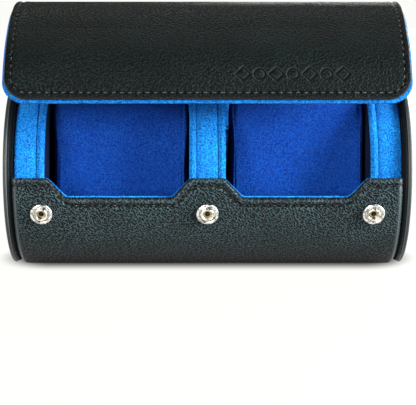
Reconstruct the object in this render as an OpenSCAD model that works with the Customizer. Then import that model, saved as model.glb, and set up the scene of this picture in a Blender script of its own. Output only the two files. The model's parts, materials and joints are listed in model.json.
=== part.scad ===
// Travel case for two watches: a leather barrel with a hinged lid, press studs and two cushions.
// X runs along the barrel, -Y is the front and Z is up. The origin is under the middle of the base.
// The open lid's angle and the lip's splay set the rest pose; the lid itself is drawn shut first.

/* [Barrel] */
// Length over the end caps
case_length = 180; // [170:1:200]
// Outer radius of the leather barrel
barrel_radius = 43.5; // [42.5:0.5:45]
// Width of the flat that the barrel rests on
base_width = 26; // [22:1:30]
// Thickness of a leather end cap
cap_thickness = 2.8; // [2.4:0.1:3.4]
// Step from the barrel's leather down to an end cap's rim
cap_step = 0.7; // [0.4:0.1:1]
// Radius of an end cap's rolled rim
cap_rim = 1.2; // [0.8:0.1:1.4]
// Width of the groove between the barrel and an end cap
groove_width = 1.2; // [0.9:0.1:1.6]
// Depth of that groove, down to the end board
groove_depth = 2.5; // [2:0.1:3]

/* [Layers] */
// Thickness of the leather
leather = 1.2; // [1:0.1:1.4]
// Thickness of the barrel's stiffening board
barrel_board = 1.8; // [1.5:0.1:2.2]
// Thickness of the barrel's suede lining
barrel_suede = 1.0; // [0.8:0.1:1.2]
// How far the lining stands over the front panel's leather edge
lining_reveal = 0.5; // [0:0.1:0.8]
// Thickness of the lid's stiffening board
lid_board_gauge = 1.4; // [1.2:0.1:1.6]
// Thickness of the lid's suede lining
lid_suede = 1.4; // [1.2:0.1:1.6]
// Leather turned in around each board's edge
turn_in = 1.6; // [1.2:0.1:2]

/* [Front panel] */
// Height of the panel's tabs over the barrel's axis
tab_height = 4; // [3:0.1:6]
// Depth of the two notches below the tabs
notch_depth = 9.2; // [7:0.1:10]
// Width of the middle tab at its top
middle_tab = 15.4; // [13:0.1:18]
// Width of an outer tab at its top
outer_tab = 15.6; // [13:0.1:18]
// Run of a notch's slanting side
slant_run = 8; // [6:0.1:9]
// Radius of the panel's corners
panel_corner = 3; // [2:0.1:3.6]

/* [Bays] */
// Thickness of the padded disc at each end
side_pad = 10.3; // [8:0.1:12]
// Thickness of a bay's outer cheek
outer_cheek = 3.6; // [3:0.1:4.5]
// Thickness of a bay's inner cheek
inner_cheek = 3.3; // [2.6:0.1:4]
// Thickness of the divider between the inner cheeks
divider = 9.6; // [8:0.1:12]
// Gap between the discs and the lining
disc_gap = 0.5; // [0.4:0.1:0.8]

/* [Lid] */
// How far each end of the lid stops short of the case's end
lid_inset = 2; // [1.5:0.1:2.6]
// Gap between the lid's narrow end and an end cap's groove
lid_play = 0.5; // [0.4:0.1:1]
// How far in front of the barrel's axis the lid starts to narrow
taper_front = 33.6; // [30:0.2:36]
// How far behind the barrel's axis the lid is down to its narrow end
taper_back = 13; // [8:0.5:20]
// How far the lid is open at rest
lid_open = 39.7; // [30:0.1:50]
// How far the lid's free lip is splayed out at rest
lip_splay = 7.6; // [5:0.1:9]
// Place of the hinge line around the barrel, from the front
hinge_angle = 168; // [166:0.5:170]
// Half of the bare leather strip between the barrel's board and the lid's
hinge_strip = 3; // [2.4:0.1:3.6]
// How far the lid's centre stands off the line from hinge to stud
lid_rise = 3; // [2.4:0.1:3.6]
// Place of the lip's crease around the lid, from the front
crease_angle = 12; // [8:0.5:16]
// Lip beyond the press studs
lip_beyond_stud = 12.7; // [11:0.1:14]
// Suede showing beyond the leather's free edge
suede_reveal = 1.6; // [1.2:0.1:2]
// Radius of the lip's two free corners
lip_corner = 10; // [7:0.5:12]
// Gap between two bodies that a leather crease joins
crease_gap = 0.3; // [0.3:0.05:0.5]

/* [Press studs] */
// Distance from an outer press stud to the end of the barrel
stud_inset = 12.6; // [11:0.1:16]
// Place of the press studs around the barrel, from the front
snap_angle = -15.9; // [-18:0.1:-14]
// Diameter of a socket
socket_diameter = 10; // [9:0.1:11]
// Bore of a socket
socket_bore = 4.2; // [4:0.1:4.4]
// Diameter of a stud's post
stud_post = 3.2; // [3:0.1:3.4]
// Stack between the barrel's leather and the lid's lining
snap_stack = 2.1; // [2:0.1:2.4]

/* [Cushions] */
// Play between a cushion and each cheek of its bay
cushion_play = 1; // [0.7:0.1:3]
// How far a cushion sits towards the right of its bay
cushion_shift = 0.5; // [0:0.1:0.6]
// Thickness of a cushion, front to back
cushion_depth = 44; // [40:0.5:46]
// Height of a cushion's top over the barrel's axis
cushion_top = 35; // [32:0.5:36]
// Radius of a cushion's corners
cushion_corner = 15; // [14:0.5:17]
// How far a cushion leans back
cushion_lean = 10; // [6:0.5:12]
// Thickness of a cushion's cover
cushion_cover = 1.2; // [1:0.1:1.5]
// How far a cushion's front can be pressed in
cushion_squeeze = 5; // [3:0.5:5]
// Thickness of the cushion's front part
cushion_front = 12; // [10:0.5:13]

/* [Ornament] */
// Number of pressed motifs on the lip, diamonds and rings in turn
motif_count = 7; // [3:2:7]
// Height of a motif
motif_size = 7.2; // [5:0.1:7.4]
// Diameter of a ring motif
motif_ring = 5.2; // [4:0.1:6]
// Width of a motif's pressed line
motif_line = 0.9; // [0.6:0.1:1.2]
// Distance from one motif to the next
motif_pitch = 7.2; // [7:0.1:8]
// Middle of the row, right of the case's middle
motif_centre = 37; // [32:0.5:38]
// Place of the row around the shut lid, from the front
motif_angle = -19.3; // [-20:0.1:-17]
// Depth of the pressing
motif_depth = 0.4; // [0.2:0.05:0.5]

/* [Hidden] */
$fn = 96;
// Play around a rivet or a stud in its hole.
fit = 0.05;
// Longer than the case, for cutting shapes.
far = 2 * case_length;
// Widest step of a cutting fan's rim, in degrees.
fan_step = 30;

axis_height = sqrt(pow(barrel_radius, 2) - pow(base_width / 2, 2));
cap_inner_face = case_length / 2 - cap_thickness;
shell_half = cap_inner_face - groove_width;
board_outer = barrel_radius - leather;
suede_outer = board_outer - barrel_board;
suede_inner = suede_outer - barrel_suede;
disc_radius = suede_inner - disc_gap;

pad_face = shell_half - side_pad;
bay_outer = pad_face - outer_cheek;
bay_inner = divider / 2 + inner_cheek;
bay_middle = (bay_outer + bay_inner) / 2;
cushion_length = bay_outer - bay_inner - 2 * cushion_play;
lid_length = case_length - 2 * lid_inset;
lid_narrow = 2 * (shell_half - lid_play);
stud_spacing = shell_half - stud_inset;

function at(radius, angle) = radius * [cos(angle), sin(angle)];
function arc_angle(length, radius) = length / radius * 180 / PI;

hinge_point = at(barrel_radius, hinge_angle);
strip_turn = arc_angle(hinge_strip, barrel_radius);
front_limit = asin((tab_height + notch_depth) / barrel_radius);

// The shut lid's circle runs through the hinge line and over the press studs.
lid_gauge = leather + lid_board_gauge + lid_suede;
stud_point = at(barrel_radius + snap_stack + lid_gauge, snap_angle);
chord = stud_point - hinge_point;
chord_half = norm(chord) / 2;
lid_centre = (hinge_point + stud_point) / 2 + lid_rise * [-chord.y, chord.x] / norm(chord);
lid_radius = sqrt(pow(chord_half, 2) + pow(lid_rise, 2));
hinge_from_lid = hinge_point - lid_centre;
stud_from_lid = stud_point - lid_centre;
lid_start = atan2(hinge_from_lid.y, hinge_from_lid.x);
lid_strip_end = lid_start - arc_angle(hinge_strip, lid_radius);
stud_turn = atan2(stud_from_lid.y, stud_from_lid.x);
lip_end = stud_turn - arc_angle(lip_beyond_stud, lid_radius);
crease_point = lid_centre + at(lid_radius, crease_angle);
crease_turn = arc_angle(crease_gap / 2, lid_radius);
hinge_gap_turn = arc_angle(crease_gap / 2, barrel_radius);
board_turn_in = arc_angle(turn_in, lid_radius);

// Heights inside a press stud are measured from the barrel's axis, along the stud.
socket_sink = 0.3;
socket_seat = barrel_radius - socket_sink;
socket_plate = 0.5;
stud_proud = 0.3;
socket_top = barrel_radius + snap_stack - stud_proud;
rim_roll = 0.75;
bore_lip = 0.5;
ring_wall = 0.9;
bore_relief = 0.3;
spring_wire = 0.4;
rivet_tube = 3.6;
rivet_hole = 2.4;
rivet_flange = 8.4;
flange_thickness = 0.5;
rivet_head = 0.25;
plate_top = socket_seat + socket_plate;
post_gap = 0.15;
post_tip = plate_top + rivet_head + post_gap;
post_bead = 0.25;
stud_flange = 8.8;
stud_flange_back = socket_top + 0.6;
cap_shaft = 2;
cap_shaft_depth = 1;
cap_sink = 0.95;
cap_seat = barrel_radius + snap_stack + lid_suede + lid_board_gauge - cap_sink;

leather_colour = [0.11, 0.13, 0.14];
edge_colour = [0.16, 0.14, 0.13];
board_colour = [0.62, 0.55, 0.42];
suede_colour = [0.13, 0.4, 0.85];
deep_suede_colour = [0.07, 0.16, 0.5];
foam_colour = [0.85, 0.83, 0.74];
chrome_colour = [0.8, 0.8, 0.82];
brass_colour = [0.72, 0.58, 0.3];

// A section is drawn with the front along +x and up along +y, and then runs along the barrel.
module along(length, middle = 0) {
    translate([middle, 0, axis_height])
        rotate([90, 0, 90])
            mirror([1, 0, 0])
                linear_extrude(length, center = true) children();
}

module fan(from, to) {
    steps = ceil(abs(to - from) / fan_step);
    rim = [for (k = [0:steps]) at(far, from + (to - from) * k / steps)];
    polygon(concat([[0, 0]], rim));
}

// Round section with the resting flat, which keeps every layer as thick as it is elsewhere.
module barrel_section(radius) {
    flat = axis_height - (barrel_radius - radius);
    intersection() {
        circle(radius);
        translate([-far, -flat]) square(2 * far);
    }
}

module barrel_ring(outer, inner, from, to) {
    intersection() {
        difference() {
            barrel_section(outer);
            barrel_section(inner);
        }
        fan(from, to);
    }
}

module lid_ring(outer, inner, from, to) {
    translate(lid_centre)
        intersection() {
            difference() {
                circle(outer);
                circle(inner);
            }
            fan(from, to);
        }
}

// Replaces the corner at b, on the way from a to c, by an arc.
function rounded(a, b, c, radius, steps = 6) =
    let (
        u = (a - b) / norm(a - b),
        v = (c - b) / norm(c - b),
        half = acos(u * v) / 2,
        middle = b + (u + v) / norm(u + v) * radius / sin(half),
        first = b + u * radius / tan(half) - middle,
        start = atan2(first.y, first.x),
        side = sign(u.x * v.y - u.y * v.x),
        turn = side * (180 - 2 * half)
    )
    [for (k = [0:steps]) middle + at(radius, start - turn * k / steps)];

function smooth(path, radius) = [
    for (k = [1:len(path) - 2]) each rounded(path[k - 1], path[k], path[k + 1], radius)
];

// Right half of the front panel's edge, from the middle tab out to the end.
notch_floor = tab_height - notch_depth;
outer_tab_edge = shell_half - outer_tab;
right_edge = [
    [middle_tab / 2, tab_height],
    [middle_tab / 2 + slant_run, notch_floor],
    [outer_tab_edge - slant_run, notch_floor],
    [outer_tab_edge, tab_height]
];
left_edge = [for (k = [3:-1:0]) [-right_edge[k].x, right_edge[k].y]];
front_edge = smooth(concat([[-far, tab_height]], left_edge, right_edge, [[far, tab_height]]), panel_corner);

// Everything over the front panel's notched edge.
module over_front_edge(lift = 0) {
    translate([0, -barrel_radius / 3, axis_height + lift])
        rotate([90, 0, 0])
            linear_extrude(far)
                polygon(concat([[-far, tab_height]], front_edge, [[far, tab_height], [far, far], [-far, far]]));
}

module on_snaps() {
    for (side = [-1:1])
        translate([side * stud_spacing, 0, axis_height])
            rotate([90 - snap_angle, 0, 0]) children();
}

module disc(diameter, from, to) {
    translate([0, 0, from]) cylinder(d = diameter, h = to - from);
}

// --- The barrel ---

module barrel_panel(outer, inner, length, trim, lift) {
    back = strip_turn + arc_angle(trim, barrel_radius);
    difference() {
        along(length) barrel_ring(outer, inner, hinge_angle + back - 360, front_limit);
        over_front_edge(lift);
    }
}

module barrel_board_blank() {
    barrel_panel(board_outer, suede_outer, 2 * (shell_half - turn_in), turn_in, -turn_in);
}

module barrel_leather() {
    color(leather_colour)
        difference() {
            barrel_panel(barrel_radius, suede_outer, 2 * shell_half, 0, 0);
            barrel_board_blank();
            on_snaps() disc(socket_diameter + 2 * fit, socket_seat, far);
            on_snaps() disc(rivet_tube + 2 * fit, suede_inner, far);
        }
}

module barrel_board() {
    color(board_colour)
        difference() {
            barrel_board_blank();
            on_snaps() disc(rivet_tube + 2 * fit, suede_inner, far);
            on_snaps() disc(rivet_flange + 2 * fit, suede_inner, suede_outer + flange_thickness + 2 * fit);
        }
}

module barrel_lining() {
    color(suede_colour) barrel_panel(suede_outer, suede_inner, 2 * shell_half, 0, lining_reveal);
}

module end_board(side) {
    color(suede_colour)
        along(groove_width, side * (shell_half + groove_width / 2))
            barrel_section(barrel_radius - groove_depth);
}

// A disc of leather with its outer rim rolled over.
module end_cap(side) {
    radius = barrel_radius - cap_step;
    color(leather_colour) {
        along(cap_thickness - cap_rim, side * (cap_inner_face + (cap_thickness - cap_rim) / 2))
            barrel_section(radius);
        intersection() {
            translate([side * (case_length / 2 - cap_rim), 0, axis_height])
                rotate([0, side * 90, 0]) {
                    cylinder(r = radius - cap_rim, h = cap_rim);
                    rotate_extrude()
                        intersection() {
                            translate([radius - cap_rim, 0]) circle(cap_rim);
                            square(far);
                        }
                }
            along(case_length) barrel_section(radius);
        }
    }
}

module end_board_left() { end_board(-1); }
module end_board_right() { end_board(1); }
module end_cap_left() { end_cap(-1); }
module end_cap_right() { end_cap(1); }

// --- The bays ---

module bay_disc(from, to) {
    color(suede_colour) along(abs(to - from), (from + to) / 2) barrel_section(disc_radius);
}

module side_pad_left() { bay_disc(-shell_half, -pad_face); }
module side_pad_right() { bay_disc(pad_face, shell_half); }
module cheek_left_outer() { bay_disc(-pad_face, -bay_outer); }
module cheek_left_inner() { bay_disc(-bay_inner, -divider / 2); }
module cheek_right_inner() { bay_disc(divider / 2, bay_inner); }
module cheek_right_outer() { bay_disc(bay_outer, pad_face); }
module divider_core() { bay_disc(-divider / 2, divider / 2); }

// --- The press studs on the barrel ---

// A plate with a rolled outer rim and a raised ring around the bore.
module snap_sockets() {
    color(chrome_colour)
        on_snaps()
            rotate_extrude() {
                translate([rivet_tube / 2 + fit, socket_seat])
                    square([(socket_diameter - rivet_tube) / 2 - fit - rim_roll, socket_plate]);
                translate([socket_diameter / 2 - rim_roll, socket_seat + rim_roll]) circle(rim_roll);
                translate([socket_bore / 2 + bore_relief, socket_seat])
                    square([ring_wall - bore_relief, socket_top - ring_wall / 2 - socket_seat]);
                translate([socket_bore / 2, socket_top - bore_lip - ring_wall / 2])
                    square([ring_wall, bore_lip]);
                translate([(socket_bore + ring_wall) / 2, socket_top - ring_wall / 2]) circle(ring_wall / 2);
            }
}

module snap_springs() {
    color(chrome_colour)
        on_snaps()
            translate([0, 0, plate_top + spring_wire])
                rotate_extrude()
                    translate([socket_bore / 2 + bore_relief - spring_wire / 2 - fit, 0]) circle(d = spring_wire);
}

// Tubular rivets hold the sockets: a flange behind the board and a head inside the socket.
module snap_rivets() {
    color(brass_colour)
        on_snaps()
            difference() {
                union() {
                    disc(rivet_flange, suede_outer + fit, suede_outer + fit + flange_thickness);
                    disc(rivet_tube, suede_outer + fit, plate_top);
                    disc(rivet_tube, plate_top, plate_top + rivet_head);
                }
                disc(rivet_hole, suede_outer - 1, far);
            }
}

// --- The hinge ---

module hinge_strip_barrel() {
    from = hinge_angle + hinge_gap_turn;
    color(leather_colour)
        along(2 * shell_half) barrel_ring(barrel_radius, board_outer, from, hinge_angle + strip_turn);
}

// Swings the lid, drawn shut, about the hinge line to where it stands open.
module opened() {
    hinge = [0, -hinge_point.x, axis_height + hinge_point.y];
    translate(hinge) rotate([-lid_open, 0, 0]) translate(-hinge) children();
}

module hinge_strip_lid() {
    to = lid_start - crease_turn;
    color(leather_colour)
        opened() along(lid_narrow) lid_ring(lid_radius, lid_radius - leather, lid_strip_end, to);
}

// --- The lid ---

// Plan of the lid, which narrows towards the hinge to pass between the end caps.
module lid_plan(trim = 0) {
    wide = lid_length / 2 - trim;
    narrow = lid_narrow / 2 - trim;
    linear_extrude(far)
        polygon([
            [-wide, -far], [wide, -far], [wide, -taper_front], [narrow, taper_back],
            [narrow, far], [-narrow, far], [-narrow, taper_back], [-wide, -taper_front]
        ]);
}

module lid_panel(outer, inner, from, to, trim = 0) {
    intersection() {
        along(far) lid_ring(outer, inner, from, to);
        lid_plan(trim);
    }
}

module lid_board_blank() {
    outer = lid_radius - leather;
    lid_panel(outer, outer - lid_board_gauge, crease_angle + board_turn_in, lid_strip_end - board_turn_in, turn_in);
}

module lid_leather() {
    color(leather_colour)
        opened() difference() {
            lid_panel(lid_radius, lid_radius - leather - lid_board_gauge, crease_angle + crease_turn, lid_strip_end);
            lid_board_blank();
        }
}

module lid_board() {
    color(board_colour) opened() lid_board_blank();
}

module lid_lining() {
    outer = lid_radius - leather - lid_board_gauge;
    color(suede_colour)
        opened() lid_panel(outer, outer - lid_suede, crease_angle + crease_turn, lid_strip_end);
}

// --- The lip, the lid's free edge ---

// Turns the lip about its crease, on the lid's outer face, to where it is splayed open.
module splayed() {
    crease = [0, -crease_point.x, axis_height + crease_point.y];
    opened() translate(crease) rotate([-lip_splay, 0, 0]) translate(-crease) children();
}

// Outline of the lip seen square on at its free edge, with the two round corners, cut through the lip.
module lip_outline(end, trim) {
    half = lid_length / 2 - trim;
    corner = lip_corner - trim;
    translate([0, -lid_centre.x, axis_height + lid_centre.y])
        rotate([90 - end, 0, 0])
            translate([0, 0, lid_radius / 2]) linear_extrude(lid_radius)
                union() {
                    translate([-half + corner, 0]) square([2 * (half - corner), lid_radius]);
                    translate([-half, corner]) square([2 * half, lid_radius]);
                    for (side = [-1, 1]) translate([side * (half - corner), corner]) circle(corner);
                }
}

module lip_panel(outer, inner, reach = 0, trim = 0) {
    end = lip_end - arc_angle(reach - trim, lid_radius);
    intersection() {
        along(far)
            lid_ring(outer, inner, end - board_turn_in, crease_angle - crease_turn - arc_angle(trim, lid_radius));
        lip_outline(end, trim);
    }
}

module lip_board_blank() {
    outer = lid_radius - leather;
    lip_panel(outer, outer - lid_board_gauge, 0, turn_in);
}

// Diamonds and rings in turn, seen square on from outside.
module motifs() {
    for (k = [0:motif_count - 1]) {
        translate([motif_centre + (k - (motif_count - 1) / 2) * motif_pitch, 0])
            if (k % 2 == 0)
                rotate(45) difference() {
                    square(motif_size / sqrt(2), center = true);
                    square(motif_size / sqrt(2) - 2 * motif_line, center = true);
                }
            else
                difference() {
                    circle(d = motif_ring);
                    circle(d = motif_ring - 2 * motif_line);
                }
    }
}

module pressed_motifs() {
    translate([0, -lid_centre.x, axis_height + lid_centre.y])
        rotate([90 - motif_angle, 0, 0])
            translate([0, 0, lid_radius - motif_depth]) linear_extrude(2 * leather) motifs();
}

module lip_leather() {
    color(leather_colour)
        splayed() difference() {
            lip_panel(lid_radius, lid_radius - leather - lid_board_gauge);
            lip_board_blank();
            pressed_motifs();
        }
}

module lip_board() {
    color(board_colour)
        splayed() difference() {
            lip_board_blank();
            on_snaps() disc(cap_shaft + 2 * fit, barrel_radius, far);
            on_snaps() disc(stud_flange + 2 * fit, cap_seat, far);
        }
}

module lip_lining() {
    outer = lid_radius - leather - lid_board_gauge;
    color(suede_colour)
        splayed() difference() {
            lip_panel(outer, outer - lid_suede, suede_reveal);
            on_snaps() disc(cap_shaft + 2 * fit, barrel_radius, far);
            on_snaps() disc(stud_flange + 2 * fit, barrel_radius, stud_flange_back);
        }
}

// --- The press studs on the lip ---

module snap_studs() {
    color(chrome_colour)
        splayed() on_snaps() difference() {
            union() {
                disc(stud_flange, socket_top, stud_flange_back);
                disc(stud_post, post_tip, socket_top);
                translate([0, 0, post_tip + 2 * post_bead])
                    rotate_extrude() translate([stud_post / 2 - post_bead / 2, 0]) circle(post_bead);
            }
            disc(cap_shaft + 2 * fit, stud_flange_back - cap_shaft_depth, far);
        }
}

// Blind rivet caps under the leather, whose shafts are set into the studs.
module snap_stud_caps() {
    color(brass_colour)
        splayed() on_snaps() {
            disc(stud_flange, cap_seat, cap_seat + flange_thickness);
            disc(cap_shaft, stud_flange_back - cap_shaft_depth, cap_seat);
        }
}

// --- The cushions ---

// Section of a cushion, leaning back and cut to rest on the barrel's lining, inset all round.
module cushion_section(inset = 0) {
    half = cushion_depth / 2 - inset;
    corner = cushion_corner - inset;
    intersection() {
        rotate(cushion_lean)
            union() {
                translate([-half, -far]) square([2 * half, far + cushion_top - cushion_corner]);
                translate([-half + corner, 0]) square([2 * (half - corner), cushion_top - inset]);
                for (side = [-1, 1])
                    translate([side * (half - corner), cushion_top - cushion_corner]) circle(corner);
            }
        barrel_section(suede_inner - crease_gap - inset);
    }
}

// The part of a section between two depths, measured towards the front along the lean.
module slice(from, to) {
    intersection() {
        children();
        rotate(cushion_lean) translate([from, -far]) square([to - from, 2 * far]);
    }
}

front_back_face = cushion_depth / 2 - cushion_front;
rear_front_face = front_back_face - cushion_squeeze - 1;

module cushion_foam_blank(side, from, to) {
    middle = side * bay_middle + cushion_shift;
    along(cushion_length - 2 * cushion_cover, middle)
        slice(from + cushion_cover, to - cushion_cover) cushion_section(cushion_cover);
}

module cushion_cover_of(side, from, to) {
    color(deep_suede_colour)
        difference() {
            along(cushion_length, side * bay_middle + cushion_shift) slice(from, to) cushion_section();
            cushion_foam_blank(side, from, to);
        }
}

module cushion_left_cover() { cushion_cover_of(-1, -far, rear_front_face); }
module cushion_left_foam() { color(foam_colour) cushion_foam_blank(-1, -far, rear_front_face); }
module cushion_left_front_cover() { cushion_cover_of(-1, front_back_face, far); }
module cushion_left_front_foam() { color(foam_colour) cushion_foam_blank(-1, front_back_face, far); }
module cushion_right_cover() { cushion_cover_of(1, -far, rear_front_face); }
module cushion_right_foam() { color(foam_colour) cushion_foam_blank(1, -far, rear_front_face); }
module cushion_right_front_cover() { cushion_cover_of(1, front_back_face, far); }
module cushion_right_front_foam() { color(foam_colour) cushion_foam_blank(1, front_back_face, far); }

barrel_leather();
barrel_board();
barrel_lining();
end_board_left();
end_board_right();
end_cap_left();
end_cap_right();
side_pad_left();
side_pad_right();
cheek_left_outer();
cheek_left_inner();
cheek_right_inner();
cheek_right_outer();
divider_core();
snap_sockets();
snap_springs();
snap_rivets();
hinge_strip_barrel();
hinge_strip_lid();
lid_leather();
lid_board();
lid_lining();
lip_leather();
lip_board();
lip_lining();
snap_studs();
snap_stud_caps();
cushion_left_cover();
cushion_left_foam();
cushion_left_front_cover();
cushion_left_front_foam();
cushion_right_cover();
cushion_right_foam();
cushion_right_front_cover();
cushion_right_front_foam();
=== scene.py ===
import json
import math

import bpy
from mathutils import Matrix, Vector


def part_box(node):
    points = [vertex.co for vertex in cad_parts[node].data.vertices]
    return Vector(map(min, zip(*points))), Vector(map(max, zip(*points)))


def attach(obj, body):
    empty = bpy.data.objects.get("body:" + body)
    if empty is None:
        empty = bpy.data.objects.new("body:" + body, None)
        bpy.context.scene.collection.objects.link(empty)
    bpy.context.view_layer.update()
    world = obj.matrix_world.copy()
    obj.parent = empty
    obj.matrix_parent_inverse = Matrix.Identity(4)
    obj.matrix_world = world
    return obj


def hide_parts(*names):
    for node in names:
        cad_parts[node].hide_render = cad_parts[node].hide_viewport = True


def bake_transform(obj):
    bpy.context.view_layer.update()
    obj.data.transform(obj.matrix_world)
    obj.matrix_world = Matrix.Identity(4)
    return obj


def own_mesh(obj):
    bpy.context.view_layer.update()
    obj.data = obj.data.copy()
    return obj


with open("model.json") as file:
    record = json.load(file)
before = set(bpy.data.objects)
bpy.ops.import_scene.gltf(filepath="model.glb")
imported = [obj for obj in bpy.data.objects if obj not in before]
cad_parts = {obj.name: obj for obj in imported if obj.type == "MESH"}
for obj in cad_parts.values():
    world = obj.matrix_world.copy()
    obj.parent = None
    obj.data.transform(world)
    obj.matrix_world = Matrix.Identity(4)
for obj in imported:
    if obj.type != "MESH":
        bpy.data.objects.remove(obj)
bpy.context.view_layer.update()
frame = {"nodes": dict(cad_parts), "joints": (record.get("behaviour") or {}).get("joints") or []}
scene = bpy.context.scene
nodes = frame["nodes"]
mm = 0.001

# --- The studio ---
# The case stands on a pale seamless table, between a soft lamp at the upper left, a cool window on the
# right, a panel overhead and a low fill behind. The camera looks down on it from a little over its lid.


def place_in_scene(name, data):
    """A thing of this name in the scene."""
    thing = bpy.data.objects.new(name, data)
    scene.collection.objects.link(thing)
    return thing


divider_low, divider_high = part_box("divider_core")
disc_radius = (divider_high.y - divider_low.y) / 2
axis_height = divider_high.z - disc_radius

camera_distance = 640 * mm
camera_rise = math.radians(10)
camera_tilt = math.radians(11.345)
camera_aside = 0.23 * mm
camera_film = 36
camera_lens = 117.8
camera_data = bpy.data.cameras.new("camera")
camera_data.sensor_width = camera_film
camera_data.lens = camera_lens
camera = place_in_scene("camera", camera_data)
camera.location = (
    camera_aside,
    -camera_distance * math.cos(camera_rise),
    axis_height + camera_distance * math.sin(camera_rise),
)
camera.rotation_euler = (math.pi / 2 - camera_tilt, 0, 0)
scene.camera = camera
scene.view_settings.view_transform = "Standard"


def lamp(name, place, size, power, colour):
    """A soft panel, aimed at the middle of the case."""
    data = bpy.data.lights.new(name, "AREA")
    data.shape = "RECTANGLE"
    data.size, data.size_y = size
    data.energy = power
    data.color = colour
    panel = place_in_scene(name, data)
    panel.location = place
    aim = Vector((0, 0, axis_height)) - Vector(place)
    panel.rotation_euler = aim.to_track_quat("-Z", "Y").to_euler()


lamp("key", place=(-0.75, -1.3, 0.45), size=(0.6, 0.9), power=27, colour=(1.0, 0.98, 0.95))
lamp("side_window", place=(1.22, -0.5, 0.45), size=(0.35, 1.1), power=56, colour=(0.88, 0.97, 1.0))
lamp("overhead", place=(0.0, 0.7, 0.9), size=(1.0, 0.25), power=2.5, colour=(1.0, 0.96, 0.86))
lamp("back_fill", place=(0.5, 1.4, 0.25), size=(1.0, 0.5), power=16, colour=(1.0, 0.98, 0.96))

world = bpy.data.worlds.new("studio")
world.use_nodes = True
world_light = world.node_tree.nodes["Background"]
world_light.inputs["Color"].default_value = (0.98, 0.98, 1.0, 1)
world_light.inputs["Strength"].default_value = 0.06
scene.world = world

table_half = 8
table_corners = [(x * table_half, y * table_half) for x, y in ((-1, -1), (1, -1), (1, 1), (-1, 1))]
table_mesh = bpy.data.meshes.new("table")
table_mesh.from_pydata([(x, y, 0) for x, y in table_corners], [], [(0, 1, 2, 3)])
table = place_in_scene("table", table_mesh)
table.visible_diffuse = False

# A pale wall stands round the table. It only closes the view, and neither lights the case nor shades it.
wall_height = 5
wall_mesh = bpy.data.meshes.new("wall")
wall_mesh.from_pydata(
    [(x, y, z) for z in (0, wall_height) for x, y in table_corners],
    [], [(k, (k + 1) % 4, (k + 1) % 4 + 4, k + 4) for k in range(4)],
)
wall = place_in_scene("wall", wall_mesh)
wall.visible_diffuse = wall.visible_glossy = wall.visible_shadow = False


class Nodes:
    """A hand for wiring the nodes of one material or one group."""

    def __init__(self, tree):
        self.tree = tree

    def add(self, kind, settings=None, **inputs):
        """A node with its settings, and its inputs by name, with _ for a space."""
        node = self.tree.nodes.new(kind)
        for name, value in (settings or {}).items():
            setattr(node, name, value)
        self.fill(node, **inputs)
        return node

    def fill(self, node, **inputs):
        """Sets or links a node's inputs by name, with _ for a space."""
        for name, value in inputs.items():
            self.set(node, name.replace("_", " "), value)

    def set(self, node, socket, value):
        """Sets or links an input, which is given by its name or by # and its place."""
        target = node.inputs[int(socket[1:]) if socket[0] == "#" else socket]
        if isinstance(value, bpy.types.NodeSocket):
            self.tree.links.new(value, target)
        else:
            target.default_value = value

    def math(self, operation, first, second=0.0, third=0.0):
        """The outcome of a sum on numbers."""
        node = self.tree.nodes.new("ShaderNodeMath")
        node.operation = operation
        for place, value in enumerate((first, second, third)):
            self.set(node, f"#{place}", value)
        return node.outputs[0]

    def mix(self, share, first, second):
        """Colour between first and second."""
        node = self.tree.nodes.new("ShaderNodeMix")
        node.data_type = "RGBA"
        for place, value in ((0, share), (6, first), (7, second)):
            self.set(node, f"#{place}", value)
        return node.outputs[2]

    def hypot(self, first, second):
        """The long side of a right triangle with these two sides."""
        squares = [self.math("POWER", side, 2) for side in (first, second)]
        return self.math("SQRT", self.math("ADD", *squares))

    def ramp(self, value, low, high, start=0.0, end=1.0):
        """Value eased from start to end as it goes from low to high."""
        node = self.tree.nodes.new("ShaderNodeMapRange")
        node.interpolation_type = "SMOOTHSTEP"
        for place, setting in enumerate((value, low, high, start, end)):
            self.set(node, f"#{place}", setting)
        return node.outputs[0]

    def vector(self, operation, first, second, third=None):
        """The outcome of a sum on vectors."""
        node = self.tree.nodes.new("ShaderNodeVectorMath")
        node.operation = operation
        for place, value in enumerate((first, second, third)):
            if value is not None:
                self.set(node, f"#{place}", value)
        return node.outputs[0]

    def scaled(self, place, fineness):
        """A place, times the fineness of the pattern that is laid over it."""
        node = self.add("ShaderNodeVectorMath", {"operation": "SCALE"}, Scale=fineness)
        self.set(node, "#0", place)
        return node.outputs[0]

    def mask(self, name, output="Fac"):
        """What the mesh holds under this name at each of its points."""
        return self.add("ShaderNodeAttribute", {"attribute_name": name}).outputs[output]

    def place(self):
        """Where a point lies on its piece."""
        return self.add("ShaderNodeTexCoord").outputs["Object"]

    def noise(self, scale, **inputs):
        """Cloudy values from 0 to 1."""
        return self.add("ShaderNodeTexNoise", Scale=scale, **inputs).outputs[0]

    def bump(self, distance, height, **inputs):
        """The lean of a surface that is raised by height, up to a distance."""
        return self.add("ShaderNodeBump", Distance=distance, Height=height, **inputs).outputs[0]

    def group(self, tree, **inputs):
        """The outputs of a node group, with its inputs by name."""
        return self.add("ShaderNodeGroup", {"node_tree": tree}, **inputs).outputs


def new_material(name):
    """A material, the hand for its nodes, and its shader."""
    material = bpy.data.materials.new(name)
    material.use_nodes = True
    return material, Nodes(material.node_tree), material.node_tree.nodes["Principled BSDF"]


def new_group(name, inputs, outputs):
    """A shader node group. Inputs are named with their usual number or kind, outputs with their kind."""
    tree = bpy.data.node_groups.new(name, "ShaderNodeTree")
    for label, value in inputs.items():
        kind = value if isinstance(value, str) else "Float"
        socket = tree.interface.new_socket(label, in_out="INPUT", socket_type="NodeSocket" + kind)
        if kind == "Float":
            socket.default_value = value
    for label, kind in outputs.items():
        tree.interface.new_socket(label, in_out="OUTPUT", socket_type="NodeSocket" + kind)
    return tree, Nodes(tree), tree.nodes.new("NodeGroupInput").outputs, tree.nodes.new("NodeGroupOutput")


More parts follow.
